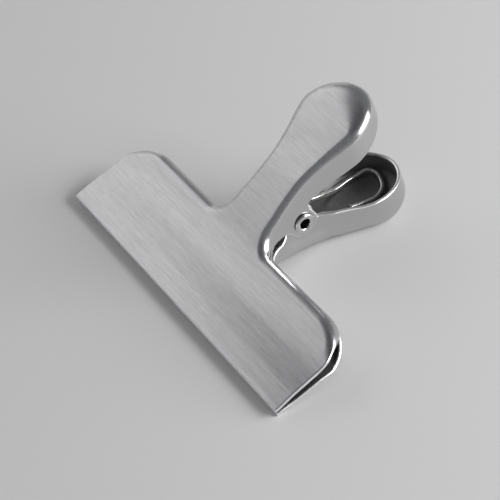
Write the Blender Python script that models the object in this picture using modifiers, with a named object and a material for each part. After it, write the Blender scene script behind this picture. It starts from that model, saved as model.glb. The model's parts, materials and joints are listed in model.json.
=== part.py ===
"""A wide-jawed spring clip in stainless steel, 75 mm across the jaws.

Two stamped shells, each a jaw plate, a neck, a pair of ears and a dished paddle
handle, turn on a hollow rivet. A torsion spring wound on the rivet pushes the
paddles apart, which holds the jaws shut. The clip lies on its lower shell: it
rests on the tip of the jaws and on the belly of the lower paddle.

Shell frame, in millimetres: x runs across the jaws, s runs back from the tip of
the jaws to the paddles, and h is the height over the plane where the jaws meet.
The rivet lies along x, and each object's origin is on the rivet's axis.
"""

import math

import bmesh
import bpy
from mathutils import Matrix, Vector

MM = 0.001

# Sheet and jaw plates
SHEET = 0.8
JAW_HALF = 37.5
JAW_TAPER = 0.035        # how far each jaw end leans in, per mm back from the tip
CORNER_S = 10.9          # where the straight jaw end meets the rear corner
CORNER_R = 8.5
REAR_S = CORNER_S + CORNER_R
TIP_GAP = 0.3            # kept between the two jaw tips
RIM, REAR_RIM = 1.5, 2.8    # width of the rolled rim at the jaw's ends and behind it
RIM_DROP = 3.5
RIM_TURN = 78.0

# Neck and paddle
FILLET_X, FILLET_R = 10.5, 4.0
NECK_S = REAR_S + FILLET_R
PADDLE_S, PADDLE_HALF, PADDLE_LONG, PADDLE_POWER = 44.2, 8.75, 9.7, 1.9
HALF_WIDTHS = (
    (NECK_S, 6.5), (26.4, 6.15), (30.0, 5.95), (33.0, 6.0),
    (36.0, 6.5), (39.0, 7.3), (41.7, 8.2), (PADDLE_S, PADDLE_HALF),
)
NECK_ROLL, PADDLE_ROLL = 1.5, 2.0
END_ROLL, END_RUN = 4.8, 6.4      # depth and length of the roll at the end of the paddle

# Slope of a shell's outer face against s: nipped tip, flat band, rise to the handle
SLOPES = (
    (0.0, 0.11), (3.9, 0.11), (4.7, 0.025), (9.0, 0.025), (10.3, 0.11), (14.0, 0.26),
    (19.0, 0.42), (30.0, 0.42), (34.0, 0.33), (60.0, 0.33),
)

# Height of the handle's cut edge over the meeting plane
UPPER_EDGE = ((34.5, 4.6), (39.2, 5.8), (43.6, 7.1), (47.6, 7.9), (51.0, 8.7), (53.9, 9.3))
LOWER_EDGE = ((34.5, 2.9), (37.8, 4.1), (41.5, 5.6), (44.8, 6.4), (47.8, 7.3), (50.7, 8.2), (53.9, 8.9))

NECK_EDGE = 1.15         # and of the neck's, where it meets the ear

# Rivet and ears
RIVET_S = 29.3
EAR_R = 3.0
EAR_FROM, EAR_TO = 23.9, 34.5
EAR_HOLE_R = 1.7
NEST = 1.1               # how far the lower ears stand inside the upper ones
NEST_FULL, NEST_END = 3.4, 4.8     # distance from the rivet along s over which they step in
NEST_RUN = 2.0           # and the depth of wall over which it leans in
RIVET_R, RIVET_BORE_R, RIVET_FLANGE_R = 1.5, 1.15, 2.25
RIVET_FLANGE_IN, RIVET_END = 6.15, 6.62

# Spring
WIRE_R = 0.6
COIL_R = 2.35
COIL_HALF = 3.2
COIL_TURNS = 4
LEG_ANGLE = math.radians(34)


def mixed(a, b, t):
    return a + (b - a) * t


def smooth(t):
    t = min(1.0, max(0.0, t))
    return t * t * (3 - 2 * t)


def from_table(table, s):
    """Straight-line reading of a table of (s, value)."""
    for (s0, v0), (s1, v1) in zip(table, table[1:]):
        if s <= s1:
            return mixed(v0, v1, (s - s0) / (s1 - s0))
    return table[-1][1]


def face_height(s):
    """Height of a shell's outer face at s, with no roll: the slopes added up from the tip."""
    height = SHEET + TIP_GAP / 2
    for (s0, a0), (s1, a1) in zip(SLOPES, SLOPES[1:]):
        if s <= s0:
            break
        run = min(s, s1) - s0
        height += run * (a0 + (a1 - a0) * run / (s1 - s0) / 2)
    return height


def nested(s, fallen):
    """How far the lower shell's wall stands in, at s and at a depth below the roll that the wall hangs from."""
    along = smooth((NEST_END - abs(s - RIVET_S)) / (NEST_END - NEST_FULL))
    return NEST * along * smooth(fallen / NEST_RUN)


def half_width(s):
    """Outer half width of the neck and handle: a smooth curve through HALF_WIDTHS, then the paddle's round end."""
    if s >= PADDLE_S:
        y = min(1.0, (s - PADDLE_S) / PADDLE_LONG)
        return PADDLE_HALF * (1 - y**PADDLE_POWER) ** (1 / PADDLE_POWER)
    table = HALF_WIDTHS
    i = max(k for k in range(len(table) - 1) if table[k][0] <= max(s, table[0][0]))

    def tangent(k):
        if k in (0, len(table) - 1):
            return 0.0
        return (table[k + 1][1] - table[k - 1][1]) / (table[k + 1][0] - table[k - 1][0])

    (s0, w0), (s1, w1) = table[i], table[i + 1]
    run = s1 - s0
    t = (s - s0) / run
    wide = (
        (2 * t**3 - 3 * t**2 + 1) * w0
        + (t**3 - 2 * t**2 + t) * run * tangent(i)
        + (3 * t**2 - 2 * t**3) * w1
        + (t**3 - t**2) * run * tangent(i + 1)
    )
    return wide


def bezier(points, t):
    while len(points) > 1:
        points = [a.lerp(b, t) for a, b in zip(points, points[1:])]
    return points[0]


def ear_edge(s, edges):
    """The cut edge (s, h) where it leaves the neck, runs round the ear and joins the handle's edge."""
    u = (s - EAR_FROM) / (EAR_TO - EAR_FROM)
    first, last = math.radians(200), math.radians(345)

    def on_ear(angle):
        return Vector((RIVET_S + EAR_R * math.cos(angle), EAR_R * math.sin(angle)))

    start = Vector((EAR_FROM, NECK_EDGE))
    end = Vector((EAR_TO, from_table(edges, EAR_TO)))
    back = on_ear(last)
    rise = end.y - 1.9 - back.y
    notch = back + Vector((-0.24 * rise, rise))
    if u <= 0.2:
        arrive = on_ear(first) - 1.1 * Vector((-math.sin(first), math.cos(first)))
        return bezier([start, start + Vector((1.4, 0)), arrive, on_ear(first)], u / 0.2)
    if u <= 0.5:
        return on_ear(mixed(first, last, (u - 0.2) / 0.3))
    if u <= 0.6:
        leave, turn = back + Vector((0, 0.34 * rise)), Vector((mixed(back.x, notch.x, 0.8), back.y + 0.655 * rise))
        return bezier([back, leave, turn, notch], (u - 0.5) / 0.1)
    return bezier([notch, Vector((notch.x, end.y)), end - Vector((1.5, 0.5)), end], (u - 0.6) / 0.4)


def stations(edges):
    """Round half of the outline, from the front corner to the end of the paddle. Each station has its outermost
    point, the direction out, the width, drop and turn of its roll, and where the cut edge is if there is a wall."""
    rim_h = face_height(REAR_S) - RIM_DROP
    found = []

    def add(x, s, nx, ns, roll, drop, turn, edge=None):
        length = math.hypot(nx, ns)
        found.append((Vector((x, s)), Vector((nx, ns)) / length, roll, drop, turn, edge))

    for s in JAW_ROWS[:-1]:
        add(JAW_HALF, s, 1, 0, RIM, 0, RIM_TURN)
    for k in range(2 * CORNER_STEPS + 1):
        angle = math.radians(45 * k / CORNER_STEPS)
        c, n = math.cos(angle), math.sin(angle)
        turned = smooth((math.degrees(angle) - 12) / 66)
        width = mixed(RIM, REAR_RIM, turned)
        add(JAW_HALF - CORNER_R * (1 - c), CORNER_S + CORNER_R * n, c, n, width, RIM_DROP * turned, RIM_TURN)
    for x in reversed(WING_COLUMNS[1:-1]):
        add(x, REAR_S, 0, 1, REAR_RIM, RIM_DROP, RIM_TURN)
    for k in range(FILLET_STEPS + 1):
        t = k / FILLET_STEPS
        angle = math.radians(-90 - 90 * t)
        x, s = FILLET_X + FILLET_R * math.cos(angle), NECK_S + FILLET_R * math.sin(angle)
        edge = Vector((s, mixed(rim_h, NECK_EDGE, smooth(t))))
        add(
            x, s, -math.cos(angle), -math.sin(angle),
            mixed(REAR_RIM, NECK_ROLL, t), mixed(RIM_DROP, NECK_ROLL, t), mixed(RIM_TURN, 90, t), edge,
        )
    for s in HANDLE_ROWS:
        slope = (half_width(s + 0.01) - half_width(s - 0.01)) / 0.02
        roll = mixed(NECK_ROLL, PADDLE_ROLL, smooth((s - 35) / (PADDLE_S - 35)))
        if s <= EAR_FROM:
            edge = Vector((s, NECK_EDGE))
        elif s < EAR_TO:
            edge = ear_edge(s, edges)
        else:
            edge = Vector((s, from_table(edges, s)))
        add(half_width(s), s, 1, -slope, roll, roll, 90, edge)
    for k in range(1, END_STEPS + 1):
        t = k / END_STEPS
        angle = math.pi / 2 * t
        c, n = max(0.0, math.cos(angle)), math.sin(angle)
        x = PADDLE_HALF * c ** (2 / PADDLE_POWER) if k < END_STEPS else 0.0
        s = PADDLE_S + PADDLE_LONG * n ** (2 / PADDLE_POWER)
        inner_x = (PADDLE_HALF - PADDLE_ROLL) * x / PADDLE_HALF
        inner_s = PADDLE_S + (PADDLE_LONG - END_RUN) * (s - PADDLE_S) / PADDLE_LONG
        width = math.hypot(x - inner_x, s - inner_s)
        drop = mixed(PADDLE_ROLL, END_ROLL, smooth(t))
        add(x, s, x - inner_x, s - inner_s, width, drop, 90, Vector((s, from_table(edges, s))))
    return found


# How finely each stretch is divided
JAW_ROWS = (0.0, 3.9, 4.7, 9.0, CORNER_S)
NECK_COLUMNS = (0.0, 3.5, 7.0, FILLET_X)
WING_COLUMNS = (FILLET_X, 17.0, 23.0, JAW_HALF - CORNER_R)
HANDLE_ROWS = (
    [EAR_FROM]
    + [EAR_FROM + (EAR_TO - EAR_FROM) * k / 20 for k in range(1, 21)]
    + [36.5, 38.5, 40.5, 42.4, PADDLE_S]
)
WALL_PARTS = (0.0, 0.1, 0.2, 0.3, 0.6, 1.0)
CORNER_STEPS, FILLET_STEPS, END_STEPS, ROLL_STEPS = 4, 6, 8, 4


def tapered(x, s):
    """The jaw ends lean in a little towards the back."""
    return x - JAW_TAPER * min(s, CORNER_S) * (x / JAW_HALF) ** 2 * smooth((NECK_S - s) / FILLET_R)


def patch(mesh, columns, rows, point):
    """A grid of columns by rows steps whose corners are moved to point(i, j)."""
    made = bmesh.ops.create_grid(mesh, x_segments=columns, y_segments=rows, size=0.5)
    for vertex in made["verts"]:
        i = round((vertex.co.x + 0.5) * columns)
        j = round((vertex.co.y + 0.5) * rows)
        vertex.co = point(i, j)


def outer_skin(name, inner, edges, below):
    """Half of a shell's outer face, open at x = 0 and at the cut edge."""
    outline = stations(edges)
    sign = -1 if below else 1

    def place(x, s, h):
        return Vector((tapered(x, s), s - RIVET_S, sign * h)) * MM

    def shoulder(station):
        point, out, roll = station[:3]
        return point - out * roll

    columns = NECK_COLUMNS[:-1] + WING_COLUMNS
    straight_i, straight_j = len(columns) - 1, len(JAW_ROWS) - 1
    centre = Vector((JAW_HALF - CORNER_R, CORNER_S))

    def reach(angle):
        return CORNER_R - mixed(RIM, REAR_RIM, smooth((math.degrees(angle) - 12) / 66))

    def on_corner(angle):
        return centre + reach(angle) * Vector((math.cos(angle), math.sin(angle)))

    def jaw(i, j):
        u = max(0, i - straight_i) / CORNER_STEPS
        v = max(0, j - straight_j) / CORNER_STEPS
        if u and v:
            quarter = math.pi / 4
            right, top, far = on_corner(quarter * v), on_corner(math.pi / 2 - quarter * u), on_corner(quarter)
            bottom, left = centre + Vector((reach(0) * u, 0)), centre + Vector((0, reach(math.pi / 2) * v))
            square = (
                centre * (1 - u) * (1 - v)
                + (centre + Vector((reach(0), 0))) * u * (1 - v)
                + (centre + Vector((0, reach(math.pi / 2)))) * (1 - u) * v
                + far * u * v
            )
            plan = bottom * (1 - v) + top * v + left * (1 - u) + right * u - square
        else:
            plan = Vector((
                columns[min(i, straight_i)] + reach(0) * u,
                JAW_ROWS[min(j, straight_j)] + reach(math.pi / 2) * v,
            ))
        return place(plan.x, plan.y, face_height(plan.y))

    fillet = len(JAW_ROWS) - 1 + 2 * CORNER_STEPS + 1 + len(WING_COLUMNS) - 2
    handle = outline[fillet:]

    def handle_face(i, j):
        end = shoulder(handle[j])
        x = end.x * NECK_COLUMNS[i] / FILLET_X
        return place(x, end.y, face_height(end.y))

    def roll(i, j):
        point, out, width, drop, turn, _ = outline[j]
        angle, last = math.radians(turn) * i / ROLL_STEPS, math.radians(turn)
        plan = point + out * width * (math.sin(angle) / math.sin(last) - 1)
        fall = drop * (1 - math.cos(angle)) / (1 - math.cos(last))
        return place(plan.x, plan.y, face_height(plan.y) - fall)

    def wall(i, j):
        point, _, _, drop, _, edge = handle[j]
        t = WALL_PARTS[i]
        s = mixed(point.y, edge.x, t)
        top = face_height(point.y) - drop
        h = mixed(top, edge.y, t)
        x = point.x if abs(edge.x - point.y) < 1e-6 else half_width(s)
        if inner:
            x -= nested(s, top - h)
        return place(x, s, h)

    mesh = bmesh.new()
    patch(mesh, straight_i + CORNER_STEPS, straight_j + CORNER_STEPS, jaw)
    patch(mesh, len(NECK_COLUMNS) - 1, len(handle) - 1, handle_face)
    patch(mesh, ROLL_STEPS, len(outline) - 1, roll)
    patch(mesh, len(WALL_PARTS) - 1, len(handle) - 1, wall)
    bmesh.ops.remove_doubles(mesh, verts=mesh.verts, dist=0.00001)
    bmesh.ops.dissolve_degenerate(mesh, dist=0.000005, edges=mesh.edges)
    bmesh.ops.recalc_face_normals(mesh, faces=mesh.faces)
    up = sum((face.normal.z * face.calc_area() for face in mesh.faces), 0.0)
    if up * sign < 0:
        bmesh.ops.reverse_faces(mesh, faces=mesh.faces)
    data = bpy.data.meshes.new(name)
    mesh.to_mesh(data)
    mesh.free()
    return data


def add_object(name, data, collection, parent):
    obj = bpy.data.objects.new(name, data)
    collection.objects.link(obj)
    obj.parent = parent
    return obj


def material(name, colour, roughness, metallic=1.0):
    made = bpy.data.materials.new(name)
    made.use_nodes = True
    shader = made.node_tree.nodes["Principled BSDF"]
    shader.inputs["Base Color"].default_value = (*colour, 1)
    shader.inputs["Roughness"].default_value = roughness
    shader.inputs["Metallic"].default_value = metallic
    return made


def shell(name, inner, edges, below, collection, parent, cutter):
    obj = add_object(name, outer_skin(name, inner, edges, below), collection, parent)
    mirror = obj.modifiers.new("other half", "MIRROR")
    mirror.merge_threshold = 0.00001
    thick = obj.modifiers.new("sheet", "SOLIDIFY")
    thick.thickness = SHEET * MM
    thick.offset = -1
    thick.use_even_offset = True
    hole = obj.modifiers.new("rivet hole", "BOOLEAN")
    hole.operation = "DIFFERENCE"
    hole.object = cutter
    obj.data.shade_smooth()
    obj.data.set_sharp_from_angle(angle=math.radians(40))
    return obj


def rivet(collection, parent):
    """A hollow rivet: half of its profile, down the outside and back up the bore, turned about the rivet's axis."""
    end, inside = RIVET_END, RIVET_FLANGE_IN
    curl = (RIVET_FLANGE_R + RIVET_BORE_R) / 2
    half = [(RIVET_BORE_R, inside - 0.15)]
    for k in range(7):
        angle = math.pi - math.pi * k / 6
        half.append((
            curl + (RIVET_FLANGE_R - RIVET_BORE_R) / 2 * math.cos(angle),
            inside + 0.1 + (end - inside - 0.1) * math.sin(angle),
        ))
    half += [(RIVET_FLANGE_R - 0.08, inside), (RIVET_R, inside)]
    profile = half + [(r, -z) for r, z in reversed(half)]
    data = bpy.data.meshes.new("pivot_tube")
    points = [(r * MM, 0, z * MM) for r, z in profile]
    data.from_pydata(points, [(k, (k + 1) % len(points)) for k in range(len(points))], [])
    obj = add_object("pivot_tube", data, collection, parent)
    obj.rotation_euler = (0, math.pi / 2, 0)
    screw = obj.modifiers.new("turn", "SCREW")
    screw.axis = "Z"
    screw.angle = 2 * math.pi
    screw.steps = screw.render_steps = 24
    screw.use_merge_vertices = True
    screw.merge_threshold = 0.00001
    screw.use_smooth_shade = True
    return obj


def wire(name, points, collection, parent):
    curve = bpy.data.curves.new(name, "CURVE")
    curve.dimensions = "3D"
    curve.bevel_depth = WIRE_R * MM
    curve.bevel_resolution = 2
    curve.use_fill_caps = True
    spline = curve.splines.new("POLY")
    spline.points.add(len(points) - 1)
    for target, (x, s, h) in zip(spline.points, points):
        target.co = (x * MM, s * MM, h * MM, 1)
    return add_object(name, curve, collection, parent)


def coil_points(trim):
    """The coil from its lower leg, at -x, to its upper leg, at +x, in the frame of the rivet."""
    first = math.radians(-90) - LEG_ANGLE
    turned = COIL_TURNS * 2 * math.pi + 2 * (math.pi + first)
    steps = 16 * COIL_TURNS + 8
    found = []
    for k in range(steps + 1):
        t = mixed(trim, 1 - trim, k / steps)
        angle = first - turned * t
        found.append((mixed(-COIL_HALF, COIL_HALF, t), COIL_R * math.cos(angle), COIL_R * math.sin(angle)))
    return found


def leg_route():
    """Plan route (x, s) of the lower leg past the coil: along the far side of the paddle, round its end and back."""
    return ((-3.35, 32.0), (-4.0, 36.5), (-5.3, 41.5), (-6.2, 45.0), (-6.2, 47.4), (-5.3, 49.6), (-3.4, 50.6), (-1.2, 50.2),
            (0.6, 48.9), (1.5, 46.6), (1.5, 44.0), (1.3, 40.7))


def floor_height(x, s, outline):
    """Depth of a paddle's outer face under a plan point, roll included."""
    reach, station = min(((Vector((abs(x), s)) - item[0]).length, k) for k, item in enumerate(outline))
    roll = outline[station][2]
    into = max(0.0, roll - reach)
    return face_height(s) - (roll - math.sqrt(max(0.0, roll * roll - into * into)))


def leg_points(sign):
    """A leg: straight off the coil at LEG_ANGLE, then down on to the paddle's floor. sign is -1 for the lower leg."""
    outline = stations(LOWER_EDGE)
    angle = math.radians(-90) - LEG_ANGLE
    start = Vector((-COIL_HALF, RIVET_S + COIL_R * math.cos(angle), COIL_R * math.sin(angle)))
    way = Vector((0, math.cos(LEG_ANGLE), -math.sin(LEG_ANGLE)))
    knots = [start + way * 0.35, start + way * 2.2]
    for x, s in leg_route():
        over_floor = SHEET + WIRE_R + 0.45
        straight = start.z - (s - start.y) * math.tan(LEG_ANGLE)
        knots.append(Vector((x, s, max(straight, -(floor_height(x, s, outline) - over_floor)))))
    found = []
    padded = [2 * knots[0] - knots[1], *knots, 2 * knots[-1] - knots[-2]]
    for a, b, c, d in zip(padded, padded[1:], padded[2:], padded[3:]):
        steps = max(2, round((c - b).length / 1.1))
        for k in range(steps):
            t = k / steps
            found.append(0.5 * (2 * b + (c - a) * t + (2 * a - 5 * b + 4 * c - d) * t**2 + (3 * b - a - 3 * c + d) * t**3))
    found.append(knots[-1])
    return [(-sign * p.x, p.y - RIVET_S, -sign * p.z) for p in found]


def lie_down(frame, lower_shell):
    """Tilts the frame until the lower shell touches the ground at the jaw tip and the paddle, then centres it."""
    bpy.context.view_layer.update()
    graph = bpy.context.evaluated_depsgraph_get()
    mesh = lower_shell.evaluated_get(graph).to_mesh()
    points = [vertex.co.copy() for vertex in mesh.vertices]
    front = min(point.y for point in points)
    tip = min(point.z for point in points if point.y < front + 0.0005)
    tilt = math.atan(max((tip - p.z) / (p.y - front) for p in points if p.y > front + 0.02))
    frame.rotation_euler = (tilt, 0, 0)
    bpy.context.view_layer.update()
    low, high = Vector((math.inf,) * 3), Vector((-math.inf,) * 3)
    for obj in frame.children:
        evaluated = obj.evaluated_get(bpy.context.evaluated_depsgraph_get())
        solid = evaluated.to_mesh()
        for vertex in solid.vertices:
            place = evaluated.matrix_world @ vertex.co
            for k in range(3):
                low[k], high[k] = min(low[k], place[k]), max(high[k], place[k])
        evaluated.to_mesh_clear()
    frame.location = (0, -(low.y + high.y) / 2, -low.z)
    print("tilt", math.degrees(tilt), "rivet axis", tuple(frame.location))


def main():
    for obj in list(bpy.data.objects):
        bpy.data.objects.remove(obj, do_unlink=True)
    scene = bpy.context.scene
    collection = bpy.data.collections.new("binder_clip")
    cutters = bpy.data.collections.new("cutters")
    scene.collection.children.link(collection)
    scene.collection.children.link(cutters)

    frame = bpy.data.objects.new("rivet_axis", None)
    collection.objects.link(frame)

    bpy.ops.mesh.primitive_cylinder_add(vertices=32, radius=EAR_HOLE_R * MM, depth=30 * MM, rotation=(0, math.pi / 2, 0))
    cutter = bpy.context.object
    cutter.name = "ear_hole_cutter"
    for other in list(cutter.users_collection):
        other.objects.unlink(cutter)
    cutters.objects.link(cutter)
    cutter.parent = frame
    cutter.hide_render = True
    cutter.display_type = "WIRE"

    brushed = {"roughness": 0.34}
    lower = shell("lower_shell", True, LOWER_EDGE, True, collection, frame, cutter)
    upper = shell("upper_shell", False, UPPER_EDGE, False, collection, frame, cutter)
    tube = rivet(collection, frame)
    coil = wire("spring_coil", coil_points(0.004), collection, frame)
    lower_leg = wire("spring_leg_lower", leg_points(-1), collection, frame)
    upper_leg = wire("spring_leg_upper", leg_points(1), collection, frame)

    upper.data.materials.append(material("upper_steel", (0.50, 0.50, 0.51), **brushed))
    lower.data.materials.append(material("lower_steel", (0.46, 0.46, 0.47), **brushed))
    tube.data.materials.append(material("rivet_steel", (0.62, 0.62, 0.63), 0.15))
    for part in (coil, lower_leg, upper_leg):
        part.data.materials.append(material(part.name + "_steel", (0.55, 0.55, 0.56), 0.22))

    lie_down(frame, lower)


main()
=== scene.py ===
"""Looks of the wide-jawed stainless spring clip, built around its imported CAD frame.

Shell frame, in millimetres: x runs across the jaws, s back from the jaw tips, h over the meeting plane.
"""

import json
import math

import bmesh
import bpy
from mathutils import Matrix, Vector

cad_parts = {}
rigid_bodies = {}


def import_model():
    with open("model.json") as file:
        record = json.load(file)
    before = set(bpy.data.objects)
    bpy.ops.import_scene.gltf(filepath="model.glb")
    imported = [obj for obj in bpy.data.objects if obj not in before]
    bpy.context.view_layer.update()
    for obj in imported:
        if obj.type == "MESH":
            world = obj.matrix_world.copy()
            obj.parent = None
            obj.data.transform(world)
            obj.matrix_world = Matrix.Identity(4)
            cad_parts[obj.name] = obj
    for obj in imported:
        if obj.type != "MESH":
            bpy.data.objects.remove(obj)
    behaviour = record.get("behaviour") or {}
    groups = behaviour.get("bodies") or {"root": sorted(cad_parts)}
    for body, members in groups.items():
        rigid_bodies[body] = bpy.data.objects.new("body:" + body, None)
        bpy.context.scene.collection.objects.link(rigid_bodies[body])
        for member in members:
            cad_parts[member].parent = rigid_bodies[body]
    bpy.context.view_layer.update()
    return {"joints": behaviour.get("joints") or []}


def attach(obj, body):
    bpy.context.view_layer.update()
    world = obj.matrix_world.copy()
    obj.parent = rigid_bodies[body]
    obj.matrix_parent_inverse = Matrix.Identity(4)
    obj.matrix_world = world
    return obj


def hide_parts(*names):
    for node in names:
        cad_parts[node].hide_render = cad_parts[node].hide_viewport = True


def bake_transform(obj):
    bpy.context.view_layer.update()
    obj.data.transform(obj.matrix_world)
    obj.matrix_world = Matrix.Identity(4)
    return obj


for leftover in list(bpy.data.objects):
    bpy.data.objects.remove(leftover, do_unlink=True)

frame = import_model()

MM = 0.001
TILT = math.radians(16.019330996581175)
AXIS = Vector(frame["joints"][0]["pos_m"])

# The CAD dimensions of the two shells
SHEET = 0.8
JAW_HALF, JAW_TAPER = 37.5, 0.035
CORNER_S, CORNER_R = 10.9, 8.5
REAR_S = CORNER_S + CORNER_R
TIP_GAP = 0.3
RIM, REAR_RIM, RIM_DROP, RIM_TURN = 1.5, 2.8, 3.5, 78.0
FILLET_X, FILLET_R = 10.5, 4.0
NECK_S = REAR_S + FILLET_R
PADDLE_S, PADDLE_HALF, PADDLE_LONG, PADDLE_POWER = 44.2, 8.75, 9.7, 1.9
HALF_WIDTHS = (
    (NECK_S, 6.5), (26.4, 6.15), (30.0, 5.95), (33.0, 6.0),
    (36.0, 6.5), (39.0, 7.3), (41.7, 8.2), (PADDLE_S, PADDLE_HALF),
)
NECK_ROLL, PADDLE_ROLL, END_ROLL, END_RUN = 1.5, 2.0, 4.8, 7.6
CROWN, LIFT = 0.15, 0.5
SLOPES = (
    (0.0, 0.11), (3.9, 0.11), (4.7, 0.025), (9.0, 0.025), (10.3, 0.11), (14.0, 0.26),
    (19.0, 0.42), (30.0, 0.42), (34.0, 0.33), (60.0, 0.33),
)
UPPER_EDGE = ((34.5, 4.6), (39.2, 5.8), (43.6, 7.1), (47.6, 7.9), (51.0, 8.7), (53.9, 9.3))
LOWER_EDGE = ((34.5, 2.9), (37.8, 4.1), (41.5, 5.6), (44.8, 6.4), (47.8, 7.3), (50.7, 8.2), (53.9, 8.9))
NECK_EDGE = 1.15
RIVET_S, EAR_R, EAR_FROM, EAR_TO, EAR_HOLE_R = 29.3, 3.0, 23.9, 34.5, 1.7
NEST, NEST_ROLLED, NEST_FULL, NEST_END, NEST_RUN = 1.1, 0.55, 3.4, 6.6, 2.0
RIVET_R, RIVET_BORE_R, RIVET_FLANGE_R = 1.5, 1.15, 2.25
RIVET_FLANGE_IN, RIVET_END = 6.15, 6.62
WIRE_R, COIL_R, COIL_HALF, COIL_TURNS = 0.6, 2.35, 3.2, 4
LEG_ANGLE = math.radians(34)

# How finely each stretch is divided
JAW_ROWS = (0.0, 0.8, 1.9, 3.1, 3.9, 4.1, 4.3, 4.5, 4.7, 6.1, 7.6, 9.0, 9.3, 9.7, 10.0, 10.3, CORNER_S)
NECK_COLUMNS = (0.0, 1.8, 3.5, 5.2, 7.0, 8.8, FILLET_X)
WING_COLUMNS = (FILLET_X, 12.6, 14.8, 17.0, 19.5, 22.0, 24.0, 26.0, JAW_HALF - CORNER_R)
EAR_STEPS = 80
HANDLE_ROWS = (
    [EAR_FROM]
    + [EAR_FROM + (EAR_TO - EAR_FROM) * k / EAR_STEPS for k in range(1, EAR_STEPS + 1)]
    + [EAR_TO + (PADDLE_S - EAR_TO) * k / 24 for k in range(1, 25)]
)
WALL_PARTS = (0.0, 0.05, 0.1, 0.15, 0.2, 0.25, 0.3, 0.38, 0.46, 0.56, 0.66, 0.77, 0.89, 1.0)
CORNER_STEPS, FILLET_STEPS, END_STEPS, ROLL_STEPS = 14, 20, 30, 12
RIM_PARTS = (0.06, 0.2, 0.4, 0.6, 0.8, 0.94)
RIM_BULGE = 0.34


def mixed(a, b, t):
    return a + (b - a) * t


def smooth(t):
    t = min(1.0, max(0.0, t))
    return t * t * (3 - 2 * t)


def from_table(table, s):
    for (s0, v0), (s1, v1) in zip(table, table[1:]):
        if s <= s1:
            return mixed(v0, v1, (s - s0) / (s1 - s0))
    return table[-1][1]


def curve_table(table, s):
    """Smooth reading of a table: a cubic through its points."""
    i = max(k for k in range(len(table) - 1) if table[k][0] <= max(s, table[0][0]))

    def tangent(k):
        if k in (0, len(table) - 1):
            a, b = (k, k + 1) if k == 0 else (k - 1, k)
            return (table[b][1] - table[a][1]) / (table[b][0] - table[a][0])
        return (table[k + 1][1] - table[k - 1][1]) / (table[k + 1][0] - table[k - 1][0])

    (s0, v0), (s1, v1) = table[i], table[i + 1]
    run = s1 - s0
    t = (s - s0) / run
    return (
        (2 * t**3 - 3 * t**2 + 1) * v0
        + (t**3 - 2 * t**2 + t) * run * tangent(i)
        + (3 * t**2 - 2 * t**3) * v1
        + (t**3 - t**2) * run * tangent(i + 1)
    )


def face_height(s):
    height = SHEET + TIP_GAP / 2
    for (s0, a0), (s1, a1) in zip(SLOPES, SLOPES[1:]):
        if s <= s0:
            break
        run = min(s, s1) - s0
        height += run * (a0 + (a1 - a0) * run / (s1 - s0) / 2)
    return height


def beside_rivet(s):
    return smooth((NEST_END - abs(s - RIVET_S)) / (NEST_END - NEST_FULL))


def nested(s, fallen):
    into = min(1.0, fallen / NEST_RUN)
    return beside_rivet(s) * mixed(NEST_ROLLED, NEST, mixed(into, smooth(into), 0.5))


def half_width(s):
    if s >= PADDLE_S:
        y = min(1.0, (s - PADDLE_S) / PADDLE_LONG)
        return PADDLE_HALF * (1 - y**PADDLE_POWER) ** (1 / PADDLE_POWER)
    table = HALF_WIDTHS
    i = max(k for k in range(len(table) - 1) if table[k][0] <= max(s, table[0][0]))

    def tangent(k):
        if k in (0, len(table) - 1):
            return 0.0
        return (table[k + 1][1] - table[k - 1][1]) / (table[k + 1][0] - table[k - 1][0])

    (s0, w0), (s1, w1) = table[i], table[i + 1]
    run = s1 - s0
    t = (s - s0) / run
    return (
        (2 * t**3 - 3 * t**2 + 1) * w0
        + (t**3 - 2 * t**2 + t) * run * tangent(i)
        + (3 * t**2 - 2 * t**3) * w1
        + (t**3 - t**2) * run * tangent(i + 1)
    )


def bezier(points, t):
    while len(points) > 1:
        points = [a.lerp(b, t) for a, b in zip(points, points[1:])]
    return points[0]


def ear_edge(s, edges):
    u = (s - EAR_FROM) / (EAR_TO - EAR_FROM)
    first, last = math.radians(200), math.radians(345)

    def on_ear(angle):
        return Vector((RIVET_S + EAR_R * math.cos(angle), EAR_R * math.sin(angle)))

    start = Vector((EAR_FROM, NECK_EDGE))
    end = Vector((EAR_TO, from_table(edges, EAR_TO)))
    back = on_ear(last)
    rise = end.y - 1.9 - back.y
    notch = back + Vector((-0.24 * rise, rise))
    if u <= 0.2:
        arrive = on_ear(first) - 1.1 * Vector((-math.sin(first), math.cos(first)))
        return bezier([start, start + Vector((1.4, 0)), arrive, on_ear(first)], u / 0.2)
    if u <= 0.5:
        return on_ear(mixed(first, last, (u - 0.2) / 0.3))
    if u <= 0.6:
        leave, turn = back + Vector((0, 0.34 * rise)), Vector((mixed(back.x, notch.x, 0.8), back.y + 0.655 * rise))
        return bezier([back, leave, turn, notch], (u - 0.5) / 0.1)
    return bezier([notch, Vector((notch.x, end.y)), end - Vector((1.5, 0.5)), end], (u - 0.6) / 0.4)


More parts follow.
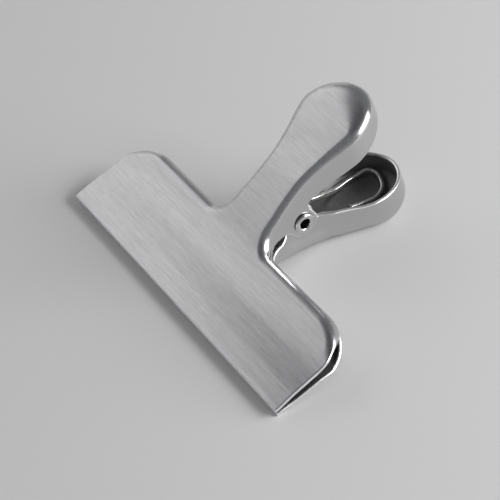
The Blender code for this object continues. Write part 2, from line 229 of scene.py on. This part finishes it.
def stations(edges):
    """Round half of the outline, from the front corner to the end of the paddle."""
    rim_h = face_height(REAR_S) - RIM_DROP
    found = []

    def add(x, s, nx, ns, roll, drop, turn, edge=None):
        length = math.hypot(nx, ns)
        found.append((Vector((x, s)), Vector((nx, ns)) / length, roll, drop, turn, edge))

    for s in JAW_ROWS[:-1]:
        add(JAW_HALF, s, 1, 0, RIM, 0, RIM_TURN)
    for k in range(2 * CORNER_STEPS + 1):
        angle = math.radians(45 * k / CORNER_STEPS)
        c, n = math.cos(angle), math.sin(angle)
        turned = smooth((math.degrees(angle) - 12) / 66)
        width = mixed(RIM, REAR_RIM, turned)
        add(JAW_HALF - CORNER_R * (1 - c), CORNER_S + CORNER_R * n, c, n, width, RIM_DROP * turned, RIM_TURN)
    for x in reversed(WING_COLUMNS[1:-1]):
        add(x, REAR_S, 0, 1, REAR_RIM, RIM_DROP, RIM_TURN)
    for k in range(FILLET_STEPS + 1):
        t = k / FILLET_STEPS
        angle = math.radians(-90 - 90 * t)
        x, s = FILLET_X + FILLET_R * math.cos(angle), NECK_S + FILLET_R * math.sin(angle)
        edge = Vector((s, mixed(rim_h, NECK_EDGE, smooth(t))))
        add(
            x, s, -math.cos(angle), -math.sin(angle),
            mixed(REAR_RIM, NECK_ROLL, smooth(t)), mixed(RIM_DROP, NECK_ROLL, smooth(t)), mixed(RIM_TURN, 90, smooth(t)), edge,
        )
    for s in HANDLE_ROWS:
        slope = (half_width(s + 0.01) - half_width(s - 0.01)) / 0.02
        roll = mixed(NECK_ROLL, PADDLE_ROLL, smooth((s - 35) / (PADDLE_S - 35)))
        if s <= EAR_FROM:
            edge = Vector((s, NECK_EDGE))
        elif s < EAR_TO:
            edge = ear_edge(s, edges)
        else:
            edge = Vector((s, curve_table(edges, s)))
        add(half_width(s), s, 1, -slope, roll, roll, 90, edge)
    for k in range(1, END_STEPS + 1):
        t = k / END_STEPS
        angle = math.pi / 2 * t
        c, n = max(0.0, math.cos(angle)), math.sin(angle)
        x = PADDLE_HALF * c ** (2 / PADDLE_POWER) if k < END_STEPS else 0.0
        s = PADDLE_S + PADDLE_LONG * n ** (2 / PADDLE_POWER)
        inner_x = (PADDLE_HALF - PADDLE_ROLL) * x / PADDLE_HALF
        inner_s = PADDLE_S + (PADDLE_LONG - END_RUN) * (s - PADDLE_S) / PADDLE_LONG
        width = math.hypot(x - inner_x, s - inner_s)
        drop = mixed(PADDLE_ROLL, END_ROLL, smooth(t))
        add(x, s, x - inner_x, s - inner_s, width, drop, 90, Vector((s, curve_table(edges, s))))
    return found


def tapered(x, s):
    return x - JAW_TAPER * min(s, CORNER_S) * (x / JAW_HALF) ** 2 * smooth((NECK_S - s) / FILLET_R)


def patch(mesh, polish, columns, rows, point, shine):
    """A grid whose corners are moved to point(i, j); shine(i, j) is how polished the steel is there."""
    made = bmesh.ops.create_grid(mesh, x_segments=columns, y_segments=rows, size=0.5)
    for vertex in made["verts"]:
        i = round((vertex.co.x + 0.5) * columns)
        j = round((vertex.co.y + 0.5) * rows)
        vertex.co = point(i, j)
        vertex[polish] = shine(i, j)


def outer_skin(name, inner, edges, below):
    outline = stations(edges)
    sign = -1 if below else 1

    def place(x, s, h):
        h -= CROWN * (x / PADDLE_HALF) ** 2 * smooth((s - 37) / 8)
        if not below:
            h += LIFT * smooth((s - 34) / 12)
        return Vector((tapered(x, s), s - RIVET_S, sign * h)) * MM

    def shoulder(station):
        point, out, roll = station[:3]
        return point - out * roll

    columns = NECK_COLUMNS[:-1] + WING_COLUMNS
    straight_i, straight_j = len(columns) - 1, len(JAW_ROWS) - 1
    centre = Vector((JAW_HALF - CORNER_R, CORNER_S))

    def reach(angle):
        return CORNER_R - mixed(RIM, REAR_RIM, smooth((math.degrees(angle) - 12) / 66))

    def on_corner(angle):
        return centre + reach(angle) * Vector((math.cos(angle), math.sin(angle)))

    def jaw(i, j):
        u = max(0, i - straight_i) / CORNER_STEPS
        v = max(0, j - straight_j) / CORNER_STEPS
        if u and v:
            quarter = math.pi / 4
            right, top, far = on_corner(quarter * v), on_corner(math.pi / 2 - quarter * u), on_corner(quarter)
            bottom, left = centre + Vector((reach(0) * u, 0)), centre + Vector((0, reach(math.pi / 2) * v))
            square = (
                centre * (1 - u) * (1 - v)
                + (centre + Vector((reach(0), 0))) * u * (1 - v)
                + (centre + Vector((0, reach(math.pi / 2)))) * (1 - u) * v
                + far * u * v
            )
            plan = bottom * (1 - v) + top * v + left * (1 - u) + right * u - square
        else:
            plan = Vector((
                columns[min(i, straight_i)] + reach(0) * u,
                JAW_ROWS[min(j, straight_j)] + reach(math.pi / 2) * v,
            ))
        return place(plan.x, plan.y, face_height(plan.y))

    fillet = len(JAW_ROWS) - 1 + 2 * CORNER_STEPS + 1 + len(WING_COLUMNS) - 2
    handle = outline[fillet:]

    def handle_face(i, j):
        end = shoulder(handle[j])
        x = end.x * NECK_COLUMNS[i] / FILLET_X
        return place(x, end.y, face_height(end.y))

    def roll(i, j):
        point, out, width, drop, turn, _ = outline[j]
        angle, last = math.radians(turn) * i / ROLL_STEPS, math.radians(turn)
        plan = point + out * width * (math.sin(angle) / math.sin(last) - 1)
        fall = drop * (1 - math.cos(angle)) / (1 - math.cos(last))
        if inner and j >= fillet + FILLET_STEPS:
            plan.x -= NEST_ROLLED * beside_rivet(point.y) * smooth(i / ROLL_STEPS)
        return place(plan.x, plan.y, face_height(plan.y) - fall)

    def roll_shine(i, j):
        turned = smooth((i / ROLL_STEPS - 0.35) / 0.6)
        behind_jaw = min(1.0, max(0.0, (fillet + 4 - j) / FILLET_STEPS * 2))
        return turned * min(1.0, outline[j][3] / 1.5) * (1 - 0.7 * smooth(behind_jaw))

    def wall(i, j):
        point, _, _, drop, _, edge = handle[j]
        t = WALL_PARTS[i]
        s = mixed(point.y, edge.x, t)
        top = face_height(point.y) - drop
        h = mixed(top, edge.y, t)
        x = point.x if abs(edge.x - point.y) < 1e-6 else half_width(s)
        if inner:
            x -= nested(s, top - h)
        return place(x, s, h)

    mesh = bmesh.new()
    polish = mesh.verts.layers.float.new("polish")
    patch(mesh, polish, straight_i + CORNER_STEPS, straight_j + CORNER_STEPS, jaw, lambda i, j: 0.0)
    patch(mesh, polish, len(NECK_COLUMNS) - 1, len(handle) - 1, handle_face, lambda i, j: 0.0)
    patch(mesh, polish, ROLL_STEPS, len(outline) - 1, roll, roll_shine)
    patch(mesh, polish, len(WALL_PARTS) - 1, len(handle) - 1, wall, lambda i, j: 1.0)
    bmesh.ops.remove_doubles(mesh, verts=mesh.verts, dist=0.000006)
    bmesh.ops.dissolve_degenerate(mesh, dist=0.000003, edges=mesh.edges)
    bmesh.ops.recalc_face_normals(mesh, faces=mesh.faces)
    up = sum((face.normal.z * face.calc_area() for face in mesh.faces), 0.0)
    if up * sign < 0:
        bmesh.ops.reverse_faces(mesh, faces=mesh.faces)
    data = bpy.data.meshes.new(name)
    mesh.to_mesh(data)
    mesh.free()
    return data


def round_rim(data):
    """Turns each flat cut edge, material 1, into a slightly rounded, tumbled one."""
    mesh = bmesh.new()
    mesh.from_mesh(data)
    mesh.normal_update()
    polish = mesh.verts.layers.float.get("polish")
    inside = mesh.verts.layers.float.get("inside")
    rims = [face for face in mesh.faces if face.material_index == 1]
    normals, chains = {}, {}
    for face in rims:
        for vertex in face.verts:
            normals[vertex] = normals.get(vertex, Vector()) + face.normal

    def across(p, q):
        if (q, p) in chains:
            return chains[q, p][::-1]
        if (p, q) not in chains:
            direction = (normals[p] + normals[q]).normalized() * RIM_BULGE * MM
            between = []
            for part in RIM_PARTS:
                vertex = mesh.verts.new(p.co.lerp(q.co, part) + direction * math.sqrt(1 - (2 * part - 1) ** 2))
                # inside -1 marks the cut edge, whose colour the steel material brightens as a painted highlight
                vertex[polish], vertex[inside] = 0.75, -1.0
                between.append(vertex)
            chains[p, q] = [p, *between, q]
        return chains[p, q]

    for face in rims:
        first, second = [edge for edge in face.edges if all(other.material_index == 1 for other in edge.link_faces)]
        a, b = first.verts
        c, d = second.verts
        if not any(set(edge.verts) == {a, d} for edge in face.edges):
            c, d = d, c
        one, two = across(a, b), across(d, c)
        for k in range(len(one) - 1):
            new = mesh.faces.new((one[k], one[k + 1], two[k + 1], two[k]))
            new.normal_update()
            if new.normal.dot(face.normal) < 0:
                new.normal_flip()
    bmesh.ops.delete(mesh, geom=rims, context="FACES_ONLY")
    loose = [edge for edge in mesh.edges if not edge.link_faces]
    bmesh.ops.delete(mesh, geom=loose, context="EDGES")
    bmesh.ops.recalc_face_normals(mesh, faces=mesh.faces)
    for face in mesh.faces:
        face.material_index = 0
    print("rim faces", len(rims), "open edges", sum(not edge.is_manifold for edge in mesh.edges))
    mesh.to_mesh(data)
    mesh.free()


def shell(name, inner, edges, below, cutter):
    raw = bpy.data.objects.new(name + "_raw", outer_skin(name + "_raw", inner, edges, below))
    bpy.context.scene.collection.objects.link(raw)
    spare = bpy.data.materials.new("spare")
    raw.data.materials.append(spare)
    raw.data.materials.append(spare)
    mirror = raw.modifiers.new("other half", "MIRROR")
    mirror.merge_threshold = 0.000006
    thick = raw.modifiers.new("sheet", "SOLIDIFY")
    thick.thickness = SHEET * MM
    thick.offset = -1
    thick.use_even_offset = True
    thick.material_offset_rim = 1
    graph = bpy.context.evaluated_depsgraph_get()
    data = bpy.data.meshes.new_from_object(raw.evaluated_get(graph), preserve_all_data_layers=True, depsgraph=graph)
    bpy.data.objects.remove(raw)
    # The thickness doubles the points: the second half are the inner side of the sheet
    count = len(data.vertices)
    mark = data.attributes.new("inside", "FLOAT", "POINT")
    mark.data.foreach_set("value", [0.0] * (count // 2) + [1.0] * (count - count // 2))
    round_rim(data)
    data.name = name
    data.materials.clear()
    obj = bpy.data.objects.new(name, data)
    bpy.context.scene.collection.objects.link(obj)
    hole = obj.modifiers.new("rivet hole", "BOOLEAN")
    hole.operation = "DIFFERENCE"
    hole.object = cutter
    graph = bpy.context.evaluated_depsgraph_get()
    cut = bpy.data.meshes.new_from_object(obj.evaluated_get(graph), preserve_all_data_layers=True, depsgraph=graph)
    print(name, "faces before and after the hole", len(data.polygons), len(cut.polygons))
    obj.modifiers.clear()
    obj.data = cut
    cut.materials.clear()
    cut.shade_smooth()
    cut.set_sharp_from_angle(angle=math.radians(50))
    return obj


def in_frame(data):
    """Puts a mesh made in the shell frame where the CAD says."""
    data.transform(Matrix.Translation(AXIS) @ Matrix.Rotation(TILT, 4, "X"))


def rivet():
    end, inside = RIVET_END, RIVET_FLANGE_IN
    curl = (RIVET_FLANGE_R + RIVET_BORE_R) / 2
    half = [(RIVET_BORE_R, inside - 0.15)]
    for k in range(17):
        angle = math.pi - math.pi * k / 16
        half.append((
            curl + (RIVET_FLANGE_R - RIVET_BORE_R) / 2 * math.cos(angle),
            inside + 0.1 + (end - inside - 0.1) * math.sin(angle),
        ))
    half += [(RIVET_FLANGE_R - 0.03, inside + 0.03), (RIVET_FLANGE_R - 0.1, inside), (RIVET_R, inside)]
    profile = half + [(r, -z) for r, z in reversed(half)]
    data = bpy.data.meshes.new("hollow_rivet")
    points = [(r * MM, 0, z * MM) for r, z in profile]
    data.from_pydata(points, [(k, (k + 1) % len(points)) for k in range(len(points))], [])
    obj = bpy.data.objects.new("hollow_rivet", data)
    bpy.context.scene.collection.objects.link(obj)
    screw = obj.modifiers.new("turn", "SCREW")
    screw.axis = "Z"
    screw.angle = 2 * math.pi
    screw.steps = screw.render_steps = 72
    screw.use_merge_vertices = True
    screw.merge_threshold = 0.000005
    screw.use_smooth_shade = True
    graph = bpy.context.evaluated_depsgraph_get()
    turned = bpy.data.meshes.new_from_object(obj.evaluated_get(graph), depsgraph=graph)
    obj.modifiers.clear()
    obj.data = turned
    turned.transform(Matrix.Rotation(math.pi / 2, 4, "Y"))
    turned.shade_smooth()
    turned.set_sharp_from_angle(angle=math.radians(40))
    return obj


def coil_points():
    first = math.radians(-90) - LEG_ANGLE
    turned = COIL_TURNS * 2 * math.pi + 2 * (math.pi + first)
    steps = 36 * COIL_TURNS + 16
    found = []
    for k in range(steps + 1):
        t = k / steps
        angle = first - turned * t
        found.append(Vector((mixed(-COIL_HALF, COIL_HALF, t), COIL_R * math.cos(angle), COIL_R * math.sin(angle))))
    return found


def leg_route():
    return ((-3.35, 32.0), (-4.0, 36.5), (-5.3, 41.5), (-6.2, 45.0), (-6.2, 47.4), (-5.3, 49.6), (-3.4, 50.6), (-1.2, 50.2),
            (0.6, 48.9), (1.5, 46.6), (1.5, 44.0), (1.3, 40.7))


def floor_height(x, s, outline):
    reach, station = min(((Vector((abs(x), s)) - item[0]).length, k) for k, item in enumerate(outline))
    roll = outline[station][2]
    into = max(0.0, roll - reach)
    return face_height(s) - (roll - math.sqrt(max(0.0, roll * roll - into * into)))


def leg_points(sign):
    outline = stations(LOWER_EDGE)
    angle = math.radians(-90) - LEG_ANGLE
    start = Vector((-COIL_HALF, RIVET_S + COIL_R * math.cos(angle), COIL_R * math.sin(angle)))
    way = Vector((0, math.cos(LEG_ANGLE), -math.sin(LEG_ANGLE)))
    knots = [start + way * 0.35, start + way * 2.2]
    for x, s in leg_route():
        over_floor = SHEET + WIRE_R + 0.12
        straight = start.z - (s - start.y) * math.tan(LEG_ANGLE)
        knots.append(Vector((x, s, max(straight, -(floor_height(x, s, outline) - over_floor)))))
    found = []
    padded = [2 * knots[0] - knots[1], *knots, 2 * knots[-1] - knots[-2]]
    for a, b, c, d in zip(padded, padded[1:], padded[2:], padded[3:]):
        steps = max(2, round((c - b).length / 0.4))
        for k in range(steps):
            t = k / steps
            found.append(0.5 * (2 * b + (c - a) * t + (2 * a - 5 * b + 4 * c - d) * t**2 + (3 * b - a - 3 * c + d) * t**3))
    found.append(knots[-1])
    return [Vector((-sign * p.x, p.y - RIVET_S, -sign * p.z)) for p in found]


def spring():
    """The torsion spring as the one wire that it is: lower leg, coil, upper leg."""
    lower_leg, upper_leg = leg_points(-1), leg_points(1)
    points = list(reversed(lower_leg)) + coil_points() + upper_leg
    # A small chamfer round each cut end
    points.insert(1, points[0].lerp(points[1], 0.35))
    points.insert(-1, points[-1].lerp(points[-2], 0.35))
    curve = bpy.data.curves.new("torsion_spring", "CURVE")
    curve.dimensions = "3D"
    curve.bevel_depth = WIRE_R * MM
    curve.bevel_resolution = 6
    curve.use_fill_caps = True
    spline = curve.splines.new("POLY")
    spline.points.add(len(points) - 1)
    for target, point in zip(spline.points, points):
        target.co = (*(point * MM), 1)
    spline.points[0].radius = spline.points[-1].radius = 0.78
    obj = bpy.data.objects.new("torsion_spring", curve)
    bpy.context.scene.collection.objects.link(obj)
    bpy.context.view_layer.update()
    graph = bpy.context.evaluated_depsgraph_get()
    data = bpy.data.meshes.new_from_object(obj.evaluated_get(graph), depsgraph=graph)
    in_frame(data)
    bpy.data.objects.remove(obj)
    mesh = bmesh.new()
    mesh.from_mesh(data)
    bmesh.ops.remove_doubles(mesh, verts=mesh.verts, dist=0.000004)
    mesh.to_mesh(data)
    mesh.free()
    obj = bpy.data.objects.new("torsion_spring", data)
    bpy.context.scene.collection.objects.link(obj)
    data.shade_smooth()
    data.set_sharp_from_angle(angle=math.radians(50))
    return obj


# ---------------------------------------------------------------- materials


def steel(name, colour, face_rough, wall_rough):
    """Stainless sheet: satin faces brushed along x, polished rolls and walls, a rougher inside with painted shade
    darkening its colour, and rounded cut edges with a painted highlight brightening their colour.
    """
    made = bpy.data.materials.new(name)
    made.use_nodes = True
    tree = made.node_tree
    nodes, links = tree.nodes, tree.links
    shader = nodes["Principled BSDF"]
    shader.inputs["Metallic"].default_value = 1.0
    where = nodes.new("ShaderNodeTexCoord")

    def stretched(scale, detail, rough, seed):
        mapping = nodes.new("ShaderNodeMapping")
        mapping.inputs["Scale"].default_value = scale
        mapping.inputs["Location"].default_value = (seed, seed * 0.7, seed * 1.3)
        noise = nodes.new("ShaderNodeTexNoise")
        noise.inputs["Scale"].default_value = 1.0
        noise.inputs["Detail"].default_value = detail
        noise.inputs["Roughness"].default_value = rough
        links.new(where.outputs["Object"], mapping.inputs["Vector"])
        links.new(mapping.outputs["Vector"], noise.inputs["Vector"])
        return noise.outputs["Fac"]

    def math_node(kind, a, b, clamp=False):
        node = nodes.new("ShaderNodeMath")
        node.operation = kind
        node.use_clamp = clamp
        for socket, value in zip(node.inputs, (a, b)):
            if isinstance(value, (int, float)):
                socket.default_value = value
            else:
                links.new(value, socket)
        return node.outputs[0]

    def ranged(value, low, high, to_low, to_high):
        node = nodes.new("ShaderNodeMapRange")
        node.inputs["From Min"].default_value = low
        node.inputs["From Max"].default_value = high
        node.inputs["To Min"].default_value = to_low
        node.inputs["To Max"].default_value = to_high
        links.new(value, node.inputs["Value"])
        return node.outputs["Result"]

    fine = stretched((520, 8500, 8500), 3, 0.65, 3.1)
    coarse = stretched((190, 3300, 3300), 4, 0.62, 11.7)
    long_streaks = stretched((55, 1100, 1100), 3, 0.55, 23.0)
    cloud = stretched((120, 260, 260), 4, 0.6, 5.0)
    marks = stretched((420, 420, 420), 5, 0.7, 41.0)

    polish = nodes.new("ShaderNodeAttribute")
    polish.attribute_name = "polish"
    side = nodes.new("ShaderNodeAttribute")
    side.attribute_name = "inside"
    within = math_node("MULTIPLY", side.outputs["Fac"], 1.0, clamp=True)
    cut_edge = math_node("MULTIPLY", side.outputs["Fac"], -1.0, clamp=True)
    shine = math_node("MULTIPLY", polish.outputs["Fac"], math_node("SUBTRACT", 1.0, math_node("MULTIPLY", within, 0.92)))

    brush = math_node("ADD", math_node("MULTIPLY", fine, 0.4), math_node("MULTIPLY", coarse, 0.6))

    # Colour: streaks along the brushing, very faint clouding, painted shade on the inner side of the sheet and a
    # painted highlight on the cut edges
    tone = math_node("ADD", math_node("MULTIPLY", ranged(brush, 0.35, 0.65, -1, 1), 0.15), math_node("MULTIPLY", ranged(long_streaks, 0.3, 0.7, -1, 1), 0.045))
    tone = math_node("ADD", tone, math_node("MULTIPLY", ranged(cloud, 0.3, 0.7, -1, 1), 0.035))
    tone = math_node("MULTIPLY", tone, math_node("SUBTRACT", 1.0, math_node("MULTIPLY", shine, 0.85)))
    factor = math_node("ADD", tone, 1.0)
    # Painted shade: the inner side of the sheet has its colour darkened by 40%
    factor = math_node("MULTIPLY", factor, math_node("SUBTRACT", 1.0, math_node("MULTIPLY", within, 0.4)))
    # Painted highlight: the cut edges have their colour brightened by 60%
    factor = math_node("MULTIPLY", factor, math_node("ADD", 1.0, math_node("MULTIPLY", cut_edge, 0.6)))
    tint = nodes.new("ShaderNodeMix")
    tint.data_type = "RGBA"
    tint.blend_type = "MIX"
    tint.inputs["A"].default_value = (*colour, 1)
    tint.inputs["B"].default_value = (*(min(1.0, c * 1.16) for c in colour), 1)
    links.new(shine, tint.inputs["Factor"])
    scaled = nodes.new("ShaderNodeVectorMath")
    scaled.operation = "SCALE"
    links.new(tint.outputs["Result"], scaled.inputs[0])
    links.new(factor, scaled.inputs["Scale"])
    links.new(scaled.outputs["Vector"], shader.inputs["Base Color"])

    # Roughness: satin face to polished wall, with the brushing and a few handling marks in it
    satin = math_node("ADD", ranged(brush, 0.3, 0.7, face_rough - 0.025, face_rough + 0.03), math_node("MULTIPLY", ranged(cloud, 0.35, 0.65, -1, 1), 0.02))
    bright = math_node("ADD", ranged(marks, 0.45, 0.8, wall_rough, wall_rough + 0.06), 0.0)
    rough = nodes.new("ShaderNodeMix")
    rough.data_type = "FLOAT"
    links.new(shine, rough.inputs["Factor"])
    links.new(satin, rough.inputs["A"])
    links.new(bright, rough.inputs["B"])
    worn = math_node("ADD", math_node("MULTIPLY", within, 0.32), math_node("MULTIPLY", cut_edge, 0.16))
    links.new(math_node("ADD", rough.outputs["Result"], worn), shader.inputs["Roughness"])

    # Relief: fine scratches on the faces, nearly none on the walls
    bump = nodes.new("ShaderNodeBump")
    bump.inputs["Distance"].default_value = 0.000012
    relief = math_node("MULTIPLY", brush, math_node("SUBTRACT", 1.0, math_node("MULTIPLY", shine, 0.93)))
    links.new(relief, bump.inputs["Height"])
    bump.inputs["Strength"].default_value = 0.35
    links.new(bump.outputs["Normal"], shader.inputs["Normal"])

    shader.inputs["Anisotropic"].default_value = 0.45
    shader.inputs["Anisotropic Rotation"].default_value = 0.25
    along = nodes.new("ShaderNodeCombineXYZ")
    along.inputs["X"].default_value = 1.0
    links.new(along.outputs["Vector"], shader.inputs["Tangent"])
    return made


def wire_steel(name, colour, roughness, streak):
    """Drawn or turned bright steel with faint lines and small bright and dull spots."""
    made = bpy.data.materials.new(name)
    made.use_nodes = True
    tree = made.node_tree
    nodes, links = tree.nodes, tree.links
    shader = nodes["Principled BSDF"]
    shader.inputs["Metallic"].default_value = 1.0
    where = nodes.new("ShaderNodeTexCoord")
    mapping = nodes.new("ShaderNodeMapping")
    mapping.inputs["Scale"].default_value = streak
    links.new(where.outputs["Object"], mapping.inputs["Vector"])
    noise = nodes.new("ShaderNodeTexNoise")
    noise.inputs["Scale"].default_value = 1.0
    noise.inputs["Detail"].default_value = 4.0
    links.new(mapping.outputs["Vector"], noise.inputs["Vector"])
    ramp = nodes.new("ShaderNodeValToRGB")
    ramp.color_ramp.elements[0].position = 0.3
    ramp.color_ramp.elements[0].color = (*(c * 0.86 for c in colour), 1)
    ramp.color_ramp.elements[1].position = 0.7
    ramp.color_ramp.elements[1].color = (*(min(1.0, c * 1.08) for c in colour), 1)
    links.new(noise.outputs["Fac"], ramp.inputs["Fac"])
    links.new(ramp.outputs["Color"], shader.inputs["Base Color"])
    span = nodes.new("ShaderNodeMapRange")
    span.inputs["From Min"].default_value = 0.3
    span.inputs["From Max"].default_value = 0.7
    span.inputs["To Min"].default_value = roughness - 0.04
    span.inputs["To Max"].default_value = roughness + 0.06
    links.new(noise.outputs["Fac"], span.inputs["Value"])
    links.new(span.outputs["Result"], shader.inputs["Roughness"])
    bump = nodes.new("ShaderNodeBump")
    bump.inputs["Distance"].default_value = 0.000006
    bump.inputs["Strength"].default_value = 0.25
    links.new(noise.outputs["Fac"], bump.inputs["Height"])
    links.new(bump.outputs["Normal"], shader.inputs["Normal"])
    return made


# ---------------------------------------------------------------- pieces

bpy.ops.mesh.primitive_cylinder_add(vertices=72, radius=EAR_HOLE_R * MM, depth=30 * MM, rotation=(0, math.pi / 2, 0))
cutter = bpy.context.object

upper = shell("upper_jaw_shell", False, UPPER_EDGE, False, cutter)
lower = shell("lower_jaw_shell", True, LOWER_EDGE, True, cutter)
bpy.data.objects.remove(cutter)
tube = rivet()
coil = spring()

upper.data.materials.append(steel("upper_brushed_steel", (0.53, 0.525, 0.53), 0.3, 0.1))
lower.data.materials.append(steel("lower_brushed_steel", (0.5, 0.495, 0.5), 0.3, 0.1))
tube.data.materials.append(wire_steel("rivet_bright_steel", (0.66, 0.655, 0.65), 0.13, (5200, 900, 900)))
coil.data.materials.append(wire_steel("spring_drawn_steel", (0.6, 0.595, 0.58), 0.2, (1500, 1500, 1500)))

for piece, body, node, slot in (
    (upper, "upper", "upper_shell", "upper_steel"),
    (lower, "lower", "lower_shell", "lower_steel"),
    (tube, "lower", "pivot_tube", "rivet_steel"),
):
    in_frame(piece.data)
    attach(piece, body)
    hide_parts(node)


def in_row(x, s, h):
    """A point of the shell frame, in mm, as a point of the row frame, in metres."""
    local = Vector((x, s - RIVET_S, h)) * MM
    return Matrix.Rotation(TILT, 3, "X") @ local + AXIS


# The coil takes up the turn between the two legs: the blend runs along x, leaning so that both legs stay whole.
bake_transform(coil)
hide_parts("spring_coil", "spring_leg_lower", "spring_leg_upper")

# ---------------------------------------------------------------- stage, light and camera

bpy.ops.mesh.primitive_plane_add(size=3.0, location=(0, 0, -0.00002))
floor = bpy.context.object
floor.name = "pale_floor"
paper = bpy.data.materials.new("pale_paper")
paper.use_nodes = True
paper.node_tree.nodes["Principled BSDF"].inputs["Base Color"].default_value = (0.74, 0.735, 0.73, 1)
paper.node_tree.nodes["Principled BSDF"].inputs["Roughness"].default_value = 0.85
floor.data.materials.append(paper)


def softbox(name, direction, distance, size, power, colour=(1, 1, 1)):
    light = bpy.data.lights.new(name, "AREA")
    light.shape = "RECTANGLE"
    light.size, light.size_y = size
    light.energy = power
    light.color = colour
    obj = bpy.data.objects.new(name, light)
    bpy.context.scene.collection.objects.link(obj)
    out = Vector(direction).normalized()
    obj.location = out * distance
    obj.rotation_euler = out.to_track_quat("Z", "Y").to_euler()
    return obj


softbox("key", (0.55, 0.66, 0.37), 0.7, (0.56, 0.42), 6.2)
softbox("broad_fill", (-0.764, -0.205, 0.612), 0.8, (0.77, 0.37), 0.76)
softbox("side_fill", (-0.95, 0.1, 0.22), 0.8, (0.9, 0.3), 0.3)

world = bpy.data.worlds.new("studio")
world.use_nodes = True
sky_nodes, sky_links = world.node_tree.nodes, world.node_tree.links
direction = sky_nodes.new("ShaderNodeTexCoord")
split = sky_nodes.new("ShaderNodeSeparateXYZ")
shade = sky_nodes.new("ShaderNodeValToRGB")
sky_links.new(direction.outputs["Generated"], split.inputs[0])
sky_links.new(split.outputs["Z"], shade.inputs["Fac"])
sky_links.new(shade.outputs["Color"], sky_nodes["Background"].inputs["Color"])
for index, (height, level) in enumerate(((0.0, 0.42), (0.22, 0.32), (0.5, 0.23), (0.8, 0.24), (0.95, 0.12))):
    stop = shade.color_ramp.elements[0] if index == 0 else shade.color_ramp.elements.new(height)
    stop.position = height
    stop.color = (level * 0.98, level, level * 1.03, 1)
shade.color_ramp.elements.remove(shade.color_ramp.elements[-1])
bpy.context.scene.world = world

camera = bpy.data.cameras.new("camera")
camera.lens = 125.598
camera.sensor_width = 36
camera.clip_start = 0.01
camera.clip_end = 10
eye = bpy.data.objects.new("camera", camera)
bpy.context.scene.collection.objects.link(eye)
turn = Matrix.Rotation(TILT, 3, "X")
right = turn @ Vector((0.5430936, 0.7800020, -0.3108796))
up = turn @ Vector((-0.5386929, 0.6076655, 0.5835688))
back = turn @ Vector((0.6440956, -0.1494638, 0.7502009))
place = in_row(222.9793, -33.1881, 256.2897)
eye.matrix_world = Matrix((
    (right.x, up.x, back.x, place.x),
    (right.y, up.y, back.y, place.y),
    (right.z, up.z, back.z, place.z),
    (0, 0, 0, 1),
))
bpy.context.scene.camera = eye
bpy.context.scene.view_settings.view_transform = "Standard"
